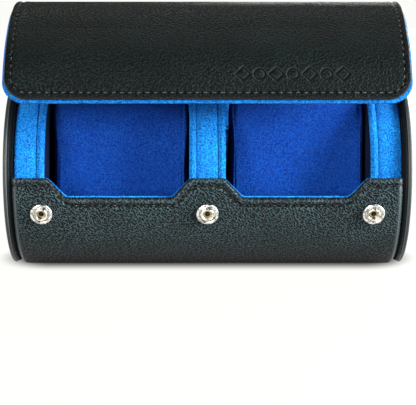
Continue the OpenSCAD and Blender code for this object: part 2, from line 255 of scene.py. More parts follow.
# The table glows evenly by itself; close round the case its glow is turned down, a painted shadow under the
# case.
shade_half_length = 72 * mm
shade_start = 12 * mm
shade_end = 29 * mm
painted_shadow_glow = (0.08, 0.08, 0.077, 1)
open_glow = (0.955, 0.955, 0.925, 1)
table_finish, wires, table_shader = new_material("pale_table")
table_colour = wires.mix(wires.noise(2.0), (0.010, 0.010, 0.010, 1), (0.014, 0.014, 0.014, 1))
table_place = wires.add("ShaderNodeSeparateXYZ", Vector=wires.place())
past_end = wires.math("SUBTRACT", wires.math("ABSOLUTE", table_place.outputs["X"]), shade_half_length)
past_end = wires.math("MAXIMUM", past_end, 0.0)
from_case = wires.hypot(table_place.outputs["Y"], past_end)
table_glow = wires.mix(wires.ramp(from_case, shade_start, shade_end), painted_shadow_glow, open_glow)
wires.fill(
    table_shader, Base_Color=table_colour, Roughness=0.9, Emission_Color=table_glow, Emission_Strength=1.0,
)
for stage_mesh in (table_mesh, wall_mesh):
    stage_mesh.materials.append(table_finish)

# --- The barrel's leather ---
# One panel of black pebbled leather, stretched round a stiff board from the notched front edge, down under
# the case and up to the hinge. Its edges are rolled in and sewn along the front. It is painted darker towards
# the bottom and back, and along the top of its cut edge, as shade.

barrel_low, barrel_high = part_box("barrel_leather")
shell_half = barrel_high.x
barrel_radius = -barrel_low.y
wall_leather = 3.0 * mm
tab_height = 4.0 * mm
notch_floor = -5.2 * mm
middle_tab = 15.4 * mm
outer_tab = 15.6 * mm
slant_run = 8 * mm
panel_corner = 3 * mm
rear_edge_angle = math.radians(171.95 - 360)
seam_inset = 3.2 * mm
seam_reach = 8 * mm
seam_depth = 0.5 * mm
seam_width = 0.7 * mm
seam_lip = 0.15 * mm
seam_lip_gap = 1.7 * mm
seam_lip_width = 0.8 * mm
panel_roll = 1.3 * mm
end_roll = 2.6 * mm
end_fall = 1.5 * mm
panel_crown = 0.35 * mm
crown_reach = 5 * mm
end_rub = 1.1 * mm
edge_rub = 0.8 * mm
dark_edge_width = 0.5 * mm
# Painted shade: the leather darkens from the first of these arcs to the second, towards the bottom and back.
painted_shade_from = -22 * mm
painted_shade_to = -48 * mm
painted_shade_strength = 1.2

# The grain: pebbles in a raised net, drawn out along one slant of the hide, with pores and a broad cloud.
grain_slant = math.radians(40)
grain_stretch = (0.85, 1.2, 1)
grain_sway = (0.5, 0.5, 0.5)
grain_group, wires, given, made = new_group(
    "leather_grain", {"Place": "Vector", "Fineness": 600.0, "Wrinkle": 0.3},
    {"Height": "Float", "Pebble": "Float", "Cloud": "Float"},
)
grain_place = wires.scaled(given["Place"], given["Fineness"])
grain_turn = wires.add(
    "ShaderNodeVectorRotate", {"rotation_type": "Z_AXIS"}, Vector=grain_place, Angle=grain_slant,
)
grain_pull = wires.vector("MULTIPLY", grain_turn.outputs[0], grain_stretch)
grain_bend = wires.add("ShaderNodeTexNoise", Vector=grain_place, Scale=0.9, Detail=1.0)
grain_shift = wires.vector("MULTIPLY_ADD", grain_bend.outputs["Color"], grain_sway, grain_pull)
grain_cells = wires.add(
    "ShaderNodeTexVoronoi", {"voronoi_dimensions": "2D"}, Vector=grain_shift, Scale=1.0, Randomness=0.85,
)
grain_pores = wires.noise(2.6, Vector=grain_shift, Detail=3.0)
grain_cloud = wires.noise(0.05, Vector=grain_place, Detail=2.0)
pebble = wires.ramp(grain_cells.outputs["Distance"], 0.1, 0.62)
wrinkle = wires.math("MULTIPLY", grain_pores, given["Wrinkle"])
wires.fill(made, Height=wires.math("ADD", pebble, wrinkle), Pebble=pebble, Cloud=grain_cloud)

# The marks of a seam, from the gap to it and the run along it: needle holes, which are painted near black as
# their shade, a band of painted shade along the dent, and puckers between the holes.
hole_reach = (0.35 * mm, 0.75 * mm)
seam_shade_reach = (0.25 * mm, 0.85 * mm)
pucker_reach = (0.3 * mm, 1.5 * mm)
pucker_rise = (0.1 * mm, 1.1 * mm)
seam_group, wires, given, made = new_group(
    "seam_marks", {"Gap": 1.0, "Run": 0.0, "Pitch": 1.0},
    {"Hole": "Float", "Dent": "Float", "Pucker": "Float"},
)
stitches_run = wires.math("DIVIDE", given["Run"], given["Pitch"])
seam_phase = wires.math("FRACT", wires.math("ADD", stitches_run, 0.5))
along_seam = wires.math("MULTIPLY", wires.math("SUBTRACT", seam_phase, 0.5), given["Pitch"])
hole_gap = wires.hypot(along_seam, given["Gap"])
near_seam = wires.ramp(given["Gap"], *pucker_reach, 1.0, 0.0)
wires.fill(
    made, Hole=wires.ramp(hole_gap, *hole_reach, 1.0, 0.0),
    Dent=wires.ramp(given["Gap"], *seam_shade_reach, 0.8, 0.0),
    Pucker=wires.math("MULTIPLY", near_seam, wires.ramp(hole_gap, *pucker_rise)),
)

# What use and the bench leave on a skin, and painted light and shade: it is dark where it is pressed in, as
# stamped leather is and as painted shade in the groove, darker where the darkened mask says, which is painted
# shade on the barrel and the caps, with a painted highlight on the brinks of what is pressed, and rubbed at
# its rims, where the grain wears flat too.
# How dark pressed leather is, how strong the painted highlight on its brinks, and how dark the painted shade
# of the darkened mask.
pressed_dark = 0.85
brink_painted_highlight = 3.0
darkening_strength = 0.7
worn_flat = 0.8
wear_and_light_group, wires, given, made = new_group(
    "leather_wear_and_painted_light",
    {
        "Skin": "Color", "Crease": "Color", "Glint": "Color", "Burnish": "Color",
        "Pressed": 0.0, "Turned": 0.0, "Rim": 0.0,
    },
    {"Colour": "Color", "Grain Left": "Float"},
)
press, rim = given["Pressed"], given["Rim"]
pressed_share = wires.math("MULTIPLY", press, pressed_dark)
worn_skin = wires.mix(pressed_share, given["Skin"], given["Crease"])
# A painted highlight on the brinks of what is pressed.
brink = wires.math("MULTIPLY", press, wires.math("SUBTRACT", 1.0, press))
worn_skin = wires.mix(wires.math("MULTIPLY", brink, brink_painted_highlight), worn_skin, given["Glint"])
# Painted shade where the darkened mask says, and on the lid a plain darker band.
darkened_share = wires.math("MULTIPLY", given["Turned"], darkening_strength)
worn_skin = wires.mix(darkened_share, worn_skin, given["Crease"])
worn_skin = wires.mix(rim, worn_skin, given["Burnish"])
grain_lost = wires.math("MULTIPLY", wires.math("MAXIMUM", rim, press), worn_flat)
wires.fill(made, Colour=worn_skin, Grain_Left=wires.math("SUBTRACT", 1.0, grain_lost))

# Painted shade: the needle holes are coloured near black.
hole_painted_shade = (0.0008, 0.0008, 0.0008, 1)
net_sharpness = 2.3
cloud_share = 0.35
pucker_height = 0.35 * mm
rim_smoothing = 0.15


def leather(name, fineness, relief, colours, shine, polish=0.0, pitch=1.0):
    """Pebbled leather: relief is the grain's height, colours are those of its pits, its raised net, its worn
    edges and the painted highlight on the brinks of what is pressed into it. Shine is the roughness of pits
    and net and how much they reflect, polish is the wax on worn edges, and pitch is that of its needle holes."""
    material, wires, shader = new_material(name)
    crease, raised, burnish, brink_highlight = [(*colour, 1) for colour in colours]
    grain = wires.group(grain_group, Place=wires.mask("flat", "Vector"), Fineness=fineness)
    skin = wires.mix(wires.math("POWER", grain["Pebble"], net_sharpness), crease, raised)
    skin = wires.mix(wires.ramp(grain["Cloud"], 0.3, 0.7, 0.0, cloud_share), skin, crease)
    rim = wires.mask("rim")
    # Wear, with painted shade from the darkened mask and a painted highlight on pressed brinks.
    wear_and_light = wires.group(
        wear_and_light_group, Skin=skin, Crease=crease, Glint=brink_highlight, Burnish=burnish,
        Pressed=wires.mask("pressed"), Turned=wires.mask("turned"), Rim=rim,
    )
    seam_gap = wires.math("SUBTRACT", seam_reach, wires.mask("seam_near"))
    seam = wires.group(seam_group, Gap=seam_gap, Run=wires.mask("seam_run"), Pitch=pitch)
    # Painted shade along the seam's dent.
    skin = wires.mix(seam["Dent"], wear_and_light["Colour"], crease)
    dull, glossy, reflection = shine
    rough = wires.ramp(grain["Pebble"], 0.0, 1.0, dull, glossy)
    pebbled = wires.bump(relief, wires.math("MULTIPLY", grain["Height"], wear_and_light["Grain Left"]))
    wires.fill(
        shader,
        Base_Color=wires.mix(seam["Hole"], skin, hole_painted_shade),
        Specular_IOR_Level=reflection,
        Coat_Weight=wires.math("MULTIPLY", rim, polish),
        Coat_Roughness=0.55,
        Roughness=wires.math("SUBTRACT", rough, wires.math("MULTIPLY", rim, rim_smoothing)),
        Normal=wires.bump(pucker_height, seam["Pucker"], Normal=pebbled),
    )
    return material


leather_crease = (0.0006, 0.0014, 0.002)
leather_raised = (0.050, 0.087, 0.096)
leather_burnish = (0.050, 0.066, 0.071)
panel_pitch = 3.4 * mm
barrel_finish = leather(
    "pebbled_leather", 980, 0.5 * mm, (leather_crease, leather_raised, leather_burnish, leather_raised),
    (0.7, 0.35, 0.15), polish=1.0, pitch=panel_pitch,
)


def at(radius, angle):
    """Point of a round section, as (front, up) from its centre."""
    return Vector((radius * math.cos(angle), radius * math.sin(angle)))


def in_space(x, spot):
    """A point of the case's section, (front, up) from the barrel's axis, at x along it."""
    return Vector((x, -spot.x, axis_height + spot.y))


def round_corners(corners, radius, steps=6):
    """A line through the corners, with an arc in place of each corner but the first and last."""
    line = [corners[0]]
    for before, corner, after in zip(corners, corners[1:], corners[2:]):
        back = (before - corner).normalized()
        onward = (after - corner).normalized()
        half = back.angle(onward) / 2
        centre = corner + (back + onward).normalized() * radius / math.sin(half)
        first = corner + back * radius / math.tan(half) - centre
        last = corner + onward * radius / math.tan(half) - centre
        turn = first.angle_signed(last)
        line += [centre + Matrix.Rotation(-turn * k / steps, 2) @ first for k in range(steps + 1)]
    return line + [corners[-1]]


def panel_edge(inset=0.0):
    """The front panel's notched edge as (x, height over the axis), or the line of its seam, inset from it.
    The seam comes nearer to the edge on the outer slants than on the rest."""
    slant = math.atan2(tab_height - notch_floor, slant_run)
    lean = math.tan(slant / 2) * inset
    tab_side = middle_tab / 2 - lean
    outer_side = shell_half - outer_tab - lean
    high, low = tab_height - inset, notch_floor - inset
    right = [
        Vector((tab_side, high)), Vector((tab_side + slant_run, low)),
        Vector((outer_side - slant_run, low)), Vector((outer_side, high)), Vector((shell_half, high)),
    ]
    left = [Vector((-p.x, p.y)) for p in reversed(right)]
    return round_corners(left + right, panel_corner)


def held(share):
    """A share, kept between 0 and 1."""
    return min(1.0, max(0.0, share))


def eased(share):
    """A share, kept between 0 and 1 and eased at both ends."""
    return held(share) ** 2 * (3 - 2 * held(share))


def hump(gap, middle, width):
    """A smooth hump, 1 at its middle and gone two widths away."""
    return math.exp(-((gap - middle) / width) ** 2)


def height_on(line, x):
    """Height of a line of (x, height) points over x."""
    for first, second in zip(line, line[1:]):
        if first.x <= x <= second.x and second.x > first.x:
            return first.y + (second.y - first.y) * (x - first.x) / (second.x - first.x)
    return line[0].y if x < line[0].x else line[-1].y


def nearest_on(line, spot):
    """Distance from a point to a line of points, and how far along the line that is."""
    nearest, place, passed = 1.0, 0.0, 0.0
    for first, second in zip(line, line[1:]):
        run = second - first
        share = held((spot - first).dot(run) / max(run.length_squared, 1e-18))
        gap = (spot - first - run * share).length
        if gap < nearest:
            nearest, place = gap, passed + run.length * share
        passed += run.length
    return nearest, place


def fall(gap, roll, depth=None):
    """How far a rolled edge falls away, at a distance gap in from it."""
    return (depth or roll) * (1 - math.sqrt(1 - (1 - gap / roll) ** 2)) if gap < roll else 0.0


def seam_dip(gap):
    """How deep the thread pulls the leather in, and the lips that it leaves along the seam."""
    return seam_depth * hump(gap, 0, seam_width) - seam_lip * hump(gap, seam_lip_gap, seam_lip_width)


def spread(first, last, step):
    """Even places from first to last, about a step apart."""
    count = max(1, round(abs(last - first) / step))
    return [first + (last - first) * k / count for k in range(count + 1)]


def merge_places(*lists, nearest=0.12 * mm):
    """All the places in order, less those that lie almost on another."""
    kept = []
    for place in sorted(p for places in lists for p in places):
        if not kept or place - kept[-1] > nearest:
            kept.append(place)
    return kept


# How far in from an edge the rows of points lie: close together over the roll and across the seam.
edge_steps = [0, 0.12 * mm, 0.35 * mm, 0.7 * mm, 1.1 * mm, 1.6 * mm, 2.2 * mm]
seam_steps = [2.7 * mm, 3.2 * mm, 3.7 * mm, 4.3 * mm, 5.2 * mm, 6.4 * mm]
beyond_steps = spread(7.5 * mm, 12 * mm, 1.5 * mm)
panel_step = 1.3 * mm
deep_rows = 44
sheet_fold = math.radians(50)


def new_mesh(name, points, faces, *finishes):
    """A smooth mesh with its finishes in order."""
    mesh = bpy.data.meshes.new(name)
    mesh.from_pydata(points, [], faces)
    for finish in finishes:
        mesh.materials.append(finish)
    mesh.polygons.foreach_set("use_smooth", [True] * len(mesh.polygons))
    return mesh


def masked_piece(name, mesh, masks, fold, body=None):
    """Puts a mesh in the scene, sharp at its folds. Masks hold a value for each of its points, or a place on
    the flat sheet."""
    for mask, values in masks.items():
        kind, field = ("FLOAT_VECTOR", "vector") if mask == "flat" else ("FLOAT", "value")
        mesh.attributes.new(mask, kind, "POINT").data.foreach_set(field, values)
    mesh.set_sharp_from_angle(angle=fold)
    mesh.update()
    piece = place_in_scene(name, mesh)
    if body:
        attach(piece, body)
    return piece


def sheet_mesh(name, outer, inner, masks, finishes, body=None):
    """A closed sheet from two grids of points, with a value per point for each mask. Finishes are those of
    its outer and its inner face."""
    rows, columns = len(outer), len(outer[0])
    count = rows * columns
    points = [p for grid in (outer, inner) for row in grid for p in row]
    front = [
        (r * columns + c, r * columns + c + 1, (r + 1) * columns + c + 1, (r + 1) * columns + c)
        for r in range(rows - 1) for c in range(columns - 1)
    ]
    back = [tuple(count + k for k in reversed(quad)) for quad in front]
    border = [c for c in range(columns)]
    border += [r * columns + columns - 1 for r in range(1, rows)]
    border += [(rows - 1) * columns + c for c in range(columns - 2, -1, -1)]
    border += [r * columns for r in range(rows - 2, 0, -1)]
    rim = [(b, a, count + a, count + b) for a, b in zip(border, border[1:] + border[:1])]
    mesh = new_mesh(name, points, front + back + rim, *finishes)
    inside = [0] * len(front) + [len(finishes) - 1] * len(back) + [0] * len(rim)
    mesh.polygons.foreach_set("material_index", inside)
    return masked_piece(name, mesh, masks, sheet_fold, body)


def on_arc(line, lift=0.0):
    """A line of (x, height) points as (x, arc round the barrel), lifted in the notches, not on the tabs."""
    arcs = []
    for p in line:
        share = (tab_height - p.y) / (tab_height - notch_floor)
        height = p.y + lift * share
        arcs.append(Vector((p.x, barrel_radius * math.asin(height / barrel_radius))))
    return arcs


def barrel_sheet(name, outer_radius, thickness, roll, lift, finishes, seam):
    """A sheet round the barrel, from the notched front edge to the rear edge under the hinge."""
    edge = on_arc(panel_edge(), lift)
    seam_line = on_arc(panel_edge(seam_inset))
    ends = [side * (shell_half - step) for side in (-1, 1) for step in edge_steps + seam_steps]
    columns = merge_places(ends, spread(-shell_half, shell_half, panel_step), [p.x for p in edge])
    down = merge_places(edge_steps, seam_steps, beyond_steps)
    outer, inner, rims, nears, runs, flats, bands = [], [], [], [], [], [], []
    for row in range(len(down) + deep_rows):
        outer.append([])
        inner.append([])
        for x in columns:
            start = height_on(edge, x)
            length = start - barrel_radius * rear_edge_angle
            arc = down[row] if row < len(down) else (
                down[-1] + (length - down[-1]) * (row - len(down) + 1) / deep_rows
            )
            spot = Vector((x, start - arc))
            edge_gap = nearest_on(edge, spot)[0] if row < len(down) and row else arc
            seam_gap, run = nearest_on(seam_line, spot) if row < len(down) and seam else (1.0, 0.0)
            end_gap = shell_half - abs(x)
            end_drop = fall(end_gap, end_roll, end_fall) if seam else fall(end_gap, roll)
            drop = max(fall(edge_gap, roll), end_drop)
            dip = seam_dip(seam_gap) if seam else 0.0
            dip += panel_crown * max(0.0, 1 - end_gap / crown_reach) ** 2 if seam else 0.0
            angle = spot.y / barrel_radius
            outer_reach = outer_radius - drop - dip
            inner_reach = outer_radius - thickness + drop * 0.3
            for grid, radius in ((outer, outer_reach), (inner, inner_reach)):
                section = at(radius, angle)
                section.y = max(section.y, barrel_radius - radius - axis_height)
                grid[-1].append(in_space(x, section))
            rims.append(max(0.25 * hump(edge_gap, edge_rub, 0.5 * mm), hump(end_gap, end_rub, 0.6 * mm)))
            nears.append(max(0.0, seam_reach - seam_gap))
            runs.append(run)
            flats += [x, spot.y, 0]
            # Painted shade: darker towards the bottom and back, and along the top of the cut edge.
            under = eased((spot.y - painted_shade_from) / (painted_shade_to - painted_shade_from))
            bands.append(max(painted_shade_strength * under, 1 - edge_gap / dark_edge_width))
    masks = {
        "rim": rims * 2, "turned": bands * 2, "flat": flats * 2,
        "seam_near": nears + [0.0] * len(nears), "seam_run": runs * 2,
    }
    return sheet_mesh(name, outer, inner, masks, finishes, "case")


barrel_skin = barrel_sheet("barrel_skin", barrel_radius, wall_leather, panel_roll, 0, [barrel_finish], True)
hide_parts("barrel_leather")

# --- The sewing on the front panel ---
# A row of black waxed thread runs along the notched edge, a little in from it. It is sewn through the leather
# and what is turned in under it, and each stitch is pulled down between its two holes.

stitch_gap = 0.7 * mm
stitch_gauge = 0.65 * mm
stitch_slant = math.radians(9)

twist_group, wires, given, made = new_group("thread_twist", {"Fineness": 900.0}, {"Ply": "Float"})
twist_wave = wires.add("ShaderNodeTexWave", {"bands_direction": "DIAGONAL"}, Scale=given["Fineness"])
wires.fill(made, Ply=twist_wave.outputs[1])


def thread(name, dark, light):
    """Twisted thread with a coat of wax."""
    material, wires, shader = new_material(name)
    twist = wires.group(twist_group, Fineness=900.0)
    colour = wires.mix(twist["Ply"], (*dark, 1), (*light, 1))
    wires.fill(shader, Base_Color=colour, Roughness=0.3, Normal=wires.bump(0.05 * mm, twist["Ply"]))
    return material


# The panel's thread is coloured darker than the lid's, as painted shade.
panel_thread_painted_shade = thread("waxed_thread_painted_shade", (0.006, 0.009, 0.010), (0.03, 0.04, 0.043))


def walk(line, pitch):
    """Even places along a line of points, as (point, direction)."""
    spots, left = [], pitch / 2
    for first, second in zip(line, line[1:]):
        run = (second - first).length
        while run > 0 and left <= run:
            spots.append((first.lerp(second, left / run), (second - first).normalized()))
            left += pitch
        left -= run
    return spots


def sew(name, line, surface, pitch, finish, body=None):
    """Stitches along a line of (x, arc) points. Surface turns such a point and a depth into a place."""
    ring, along = 6, 7
    length = pitch - stitch_gap
    points, faces = [], []
    for spot, heading in walk(line, pitch):
        ahead = Matrix.Rotation(stitch_slant, 2) @ heading
        aside = Vector((-ahead.y, ahead.x))
        first = len(points)
        for k in range(along):
            share = -1 + 2 * k / (along - 1)
            girth = stitch_gauge / 2 * math.sqrt(max(0.02, 1 - abs(share) ** 3))
            sink = stitch_gauge * (0.1 + 0.75 * share ** 2)
            for turn in range(ring):
                angle = 2 * math.pi * turn / ring
                flat = spot + ahead * share * length / 2 + aside * girth * math.cos(angle)
                points.append(surface(flat, sink - girth * math.sin(angle)))
        for k in range(along - 1):
            for turn in range(ring):
                a, b = first + k * ring + turn, first + k * ring + (turn + 1) % ring
                faces.append((a, b, b + ring, a + ring))
        faces.append(tuple(first + turn for turn in reversed(range(ring))))
        faces.append(tuple(first + (along - 1) * ring + turn for turn in range(ring)))
    piece = place_in_scene(name, new_mesh(name, points, faces, finish))
    if body:
        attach(piece, body)
    return piece


def on_barrel(flat, depth):
    """A place on the front panel, or deeper, from a point of its flat outline."""
    return in_space(flat.x, at(barrel_radius - seam_depth - depth, flat.y / barrel_radius))


sew("panel_stitches", on_arc(panel_edge(seam_inset)), on_barrel, panel_pitch, panel_thread_painted_shade, "case")

# --- The barrel's lining ---
# A panel of blue suede, thinner than the leather, is glued inside the board from the front edge to the
# hinge. In the notches it stands a little over the leather, and shows there as a fine blue line.

lining_outer = barrel_radius - wall_leather
lining_thickness = 1.0 * mm
lining_reveal = 0.3 * mm
lining_roll = 0.4 * mm

nap_group, wires, given, made = new_group(
    "suede_nap", {"Place": "Vector", "Fineness": 1400.0},
    {"Height": "Float", "Fleck": "Float", "Brush": "Float"},
)
nap_place = wires.scaled(given["Place"], given["Fineness"])
nap_flecks = wires.noise(1.0, Vector=nap_place, Detail=3.0, Roughness=0.75)
nap_brush = wires.noise(0.06, Vector=nap_place, Detail=2.0, Distortion=0.6)
wires.fill(
    made, Height=nap_flecks, Fleck=wires.ramp(nap_flecks, 0.38, 0.62), Brush=wires.ramp(nap_brush, 0.3, 0.7),
)

nap_depth = 0.5 * mm
sheen_tint = (0.35, 0.7, 1.0, 1)


def suede(name, dark, light, brushed, sheen):
    """Napped suede: flecks from dark to light, with brushed patches, and a soft sheen."""
    material, wires, shader = new_material(name)
    nap = wires.group(nap_group, Place=wires.place())
    flecks = wires.mix(nap["Fleck"], (*dark, 1), (*light, 1))
    patch = wires.math("MULTIPLY", nap["Brush"], 0.35)
    wires.fill(
        shader, Base_Color=wires.mix(patch, flecks, (*brushed, 1)), Roughness=0.95, Specular_IOR_Level=0.15,
        Sheen_Weight=sheen, Sheen_Roughness=0.5, Sheen_Tint=sheen_tint,
        Normal=wires.bump(nap_depth, nap["Height"]),
    )
    return material


suede_dark = (0.001, 0.050, 0.30)
suede_light = (0.014, 0.36, 0.95)
suede_brushed = (0.004, 0.17, 0.64)
lining_finish = suede("blue_suede", suede_dark, suede_light, suede_brushed, 0.10)
barrel_lining = barrel_sheet(
    "barrel_lining_suede", lining_outer, lining_thickness, lining_roll, lining_reveal, [lining_finish], False
)
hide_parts("barrel_lining")

# --- The boards ---
# Grey-brown pressed board stiffens the barrel, the lid and the lip. It is moulded to the round and glued in
# between leather and suede, so it only shows where a case is taken apart.

board_finish, wires, board_shader = new_material("pressed_board")
board_fibres = wires.noise(900.0, Detail=4.0)
board_colour = wires.mix(board_fibres, (0.30, 0.24, 0.16, 1), (0.46, 0.38, 0.27, 1))
wires.fill(board_shader, Base_Color=board_colour, Roughness=0.9)


def finish_nodes(material, *names):
    """Gives CAD pieces their material."""
    for name in names:
        for slot in nodes[name].material_slots:
            slot.material = material
        if not nodes[name].material_slots:
            nodes[name].data.materials.append(material)


finish_nodes(board_finish, "barrel_board", "lid_board", "lip_board")

# --- The ends of the barrel ---
# Each end of the barrel is closed by a disc of two leathers glued face to face, the inner one a little
# smaller. Their rims are rounded, waxed and rubbed, and the disc is glued on its board. The outer leather's
# rim is painted lighter still as highlight, the inner one's darker as shade in the groove.

cap_low, cap_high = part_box("end_cap_right")
cap_radius = (cap_high.y - cap_low.y) / 2
cap_ply = 1.1 * mm
cap_step = 0.5 * mm
cap_soft = 0.45 * mm
cap_round = 0.8 * mm
cap_crack = 0.1 * mm
cap_pit = (0.003, 0.004, 0.004)
cap_net = (0.012, 0.016, 0.016)
cap_rim_wear_and_highlight = (0.10, 0.115, 0.118)
disc_points = 144
face_inset = 2 * mm
disc_fold = math.radians(60)

cap_finish = leather(
    "cap_leather", 820, 0.12 * mm, (cap_pit, cap_net, cap_rim_wear_and_highlight, leather_raised), (0.6, 0.4, 0.18),
    polish=0.7,
)


def tube_faces(rings, count):
    """Faces of a closed tube, from rings of count points each."""
    faces = []
    for ring in range(rings - 1):
        near, far = ring * count, (ring + 1) * count
        faces += [(near + k, near + (k + 1) % count, far + (k + 1) % count, far + k) for k in range(count)]
    faces.append(tuple(reversed(range(count))))
    faces.append(tuple((rings - 1) * count + k for k in range(count)))
    return faces


def disc_mesh(name, radius, profile, finish, body, rims=None, wall=None):
    """A round body along X with the barrel's flat under it, from a profile of (x, how far in from the rim).
    Rims are how worn each ring is, with painted highlight where it is lightest, or below 0 how dark it is
    painted as shade, and wall is the finish of its flat faces."""
    points = []
    for x, inset in profile:
        for turn in range(disc_points):
            angle = 2 * math.pi * turn / disc_points
            spot = at(radius - inset, angle)
            spot.y = max(spot.y, barrel_radius - radius + inset - axis_height)
            points.append(in_space(x, spot))
    rings = len(profile)
    mesh = new_mesh(name, points, tube_faces(rings, disc_points), *([finish, wall] if wall else [finish]))
    if wall:
        for face in mesh.polygons:
            face.material_index = 1 if abs(face.normal.x) > 0.9 else 0
    masks = {
        mask: [max(0.0, way * value) for value in rims or [0] * rings for _ in range(disc_points)]
        for mask, way in (("rim", 1), ("turned", -1))
    }
    masks["flat"] = [value for p in points for value in (p.y, p.x + p.z, 0)]
    return masked_piece(name, mesh, masks, disc_fold, body)


def rolled(first, last, near, far):
    """Profile of a rim from first to last along X, as (x, how far in), rounded by near and far at its
    ends."""
    way = 1 if last > first else -1
    turns = [math.radians(step) for step in (0, 20, 42, 66, 90)]
    start = [(first + way * near * (1 - math.cos(t)), near * (1 - math.sin(t))) for t in turns]
    end = [(last - way * far * (1 - math.cos(t)), far * (1 - math.sin(t))) for t in reversed(turns)]
    return start + end


def end_cap(name, node, side):
    """One end disc, as (x, how far in) from the inner leather's face to the outer one's."""
    low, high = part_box(node)
    inner, outer = (low.x, high.x) if side > 0 else (high.x, low.x)
    joint = inner + side * cap_ply
    profile = [(inner, cap_radius - face_inset)]
    worn = [0.0]
    profile += [(x, inset + cap_step) for x, inset in rolled(inner, joint, cap_soft, cap_crack)]
    # The inner ply's rim is painted darker, as shade in the groove.
    worn += [-1.0] * 10
    profile += rolled(joint, outer, cap_soft, cap_round)
    # The outer ply's rim is rubbed, and painted lighter still as highlight, most of all at the joint.
    worn += [0.9, 1.0, 1.0, 0.7, 0.3, 0.3, 0.4, 0.7, 0.8, 0.3]
    profile += [(outer, inset) for inset in (face_inset, 9 * mm, 20 * mm, cap_radius - face_inset)]
    worn += [0.0] * 4
    if side < 0:
        profile.reverse()
        worn.reverse()
    piece = disc_mesh(name, cap_radius, profile, cap_finish, "case", worn)
    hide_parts(node)


end_cap("left_end_disc", "end_cap_left", -1)
end_cap("right_end_disc", "end_cap_right", 1)

# --- The end boards ---
# Under each end disc is a smaller leather board, so that a groove runs round behind the disc. It closes the
# barrel, and a thin facing of suede is glued between it and the disc. Both are coloured near black, as
# painted shade in the groove.

facing_depth = 0.45 * mm
facing_drop = 0.9 * mm
facing_dark = (0.001, 0.003, 0.006)
facing_light = (0.004, 0.009, 0.015)
facing_brushed = (0.002, 0.005, 0.010)
facing_painted_shade = suede("facing_edge_painted_shade", facing_dark, facing_light, facing_brushed, 0.01)
groove_pit = (0.002, 0.003, 0.0035)
groove_net = (0.005, 0.007, 0.008)
groove_painted_shade = leather(
    "groove_leather_painted_shade", 900, 0.05 * mm, (groove_pit, groove_net, leather_burnish, leather_raised),
    (0.8, 0.6, 0.1),
)


def end_board(name, node, side):
    """One end board and its facing, from the barrel outwards."""
    low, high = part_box(node)
    inner, outer = (low.x, high.x) if side > 0 else (high.x, low.x)
    joint = outer - side * facing_depth
    board = (name, inner, joint, (high.y - low.y) / 2, groove_painted_shade)
    facing = (name + "_facing", joint, outer, cap_radius - facing_drop, facing_painted_shade)
    for part, first, last, reach, finish in (board, facing):
        profile = [(first, reach - face_inset), (first, 0), (last, 0), (last, reach - face_inset)]
        if side < 0:
            profile.reverse()
        piece = disc_mesh(part, reach, profile, finish, "case")
        if part == name:
            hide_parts(node)


end_board("left_groove_board", "end_board_left", -1)
end_board("right_groove_board", "end_board_right", 1)

# --- The padded discs of the bays ---
# Discs of foam under bright blue suede: a thick one at each end, the divider in the middle, and a thin
# cheek on each side of a bay. They are glued face to face, which leaves a soft crease at each join.

pad_finish = suede("side_blue_suede", suede_dark, suede_light, suede_brushed, 0.08)
# The flat faces of the discs, the walls of the bays, get a far darker suede as painted shade.
bay_wall_painted_shade = suede(
    "bay_wall_suede_painted_shade", (0.0003, 0.0015, 0.014), (0.001, 0.007, 0.045), (0.0006, 0.004, 0.028), 0.005
)
pad_roll = 1.1 * mm
pad_crown = 0.35 * mm
pad_face_insets = [disc_radius - face_inset, 24 * mm, 8 * mm]


def padded_disc(name, node):
    """One padded disc: flat faces, rolled rims and a crowned edge that dips where the next disc begins."""
    low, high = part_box(node)
    width = high.x - low.x
    roll = min(pad_roll, width * 0.3)
    turns = [share * math.pi / 2 for share in (0, 0.08, 0.2, 0.38, 0.6, 0.85, 1.0)]
    edge = [(roll * (1 - math.cos(turn)), roll * (1 - math.sin(turn)) + pad_crown) for turn in turns]
    middle = spread(roll * 1.3, width - roll * 1.3, 1.2 * mm)
    crown = [(x, pad_crown * (2 * x / width - 1) ** 2) for x in middle]
    rim = edge + crown + [(width - x, inset) for x, inset in reversed(edge)]
    profile = [(low.x, inset) for inset in pad_face_insets]
    profile += [(low.x + x, inset) for x, inset in rim]
    profile += [(high.x, inset) for inset in reversed(pad_face_insets)]
    piece = disc_mesh(name, disc_radius, profile, pad_finish, "case", wall=bay_wall_painted_shade)
    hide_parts(node)


for node in (
    "side_pad_left", "side_pad_right", "cheek_left_outer", "cheek_left_inner",
    "cheek_right_inner", "cheek_right_outer", "divider_core",
):
    padded_disc(node + "_suede", node)

# --- The cushions ---
# A block of foam in a sewn cover of the same suede, which the watch's strap closes round. It leans back
# a little, rests on the lining, and its front gives when a strap is pushed over it.

# The cover is given a darker blue than the pads, as painted shade of the deep bay.
cushion_painted_shade = suede(
    "cushion_suede_painted_shade", (0.001, 0.018, 0.19), (0.006, 0.088, 0.46), (0.003, 0.046, 0.31), 0.07
)
cushion_lean = math.radians(10)
cushion_half_depth = 22 * mm
cushion_top = 35 * mm
cushion_corner = 15 * mm
cushion_seat = 39.2 * mm
cushion_roll = 3.4 * mm
cushion_slack = 0.5 * mm
cushion_seam = 2.6 * mm
cushion_groove = 0.9 * mm
cushion_seam_width = 0.4 * mm
cushion_fill_reach = 0.9 * mm
cushion_middle = Vector((0, -6 * mm))
section_points = 84
section_halvings = 30
fill_frames = 20
fill_pressure = 4
cover_tension = 12
cover_bending = 0.8


def outside_cushion(spot):
    """How far a point of the section lies outside the cushion, or less than 0 inside it."""
    leaned = Matrix.Rotation(-cushion_lean, 2) @ spot
    across = abs(leaned.x) - (cushion_half_depth - cushion_corner)
    above = leaned.y - (cushion_top - cushion_corner)
    if above > 0 and across > 0:
        block = math.hypot(across, above) - cushion_corner
    else:
        block = max(across, above) - cushion_corner
    return max(block, spot.length - cushion_seat, barrel_radius - cushion_seat - axis_height - spot.y)


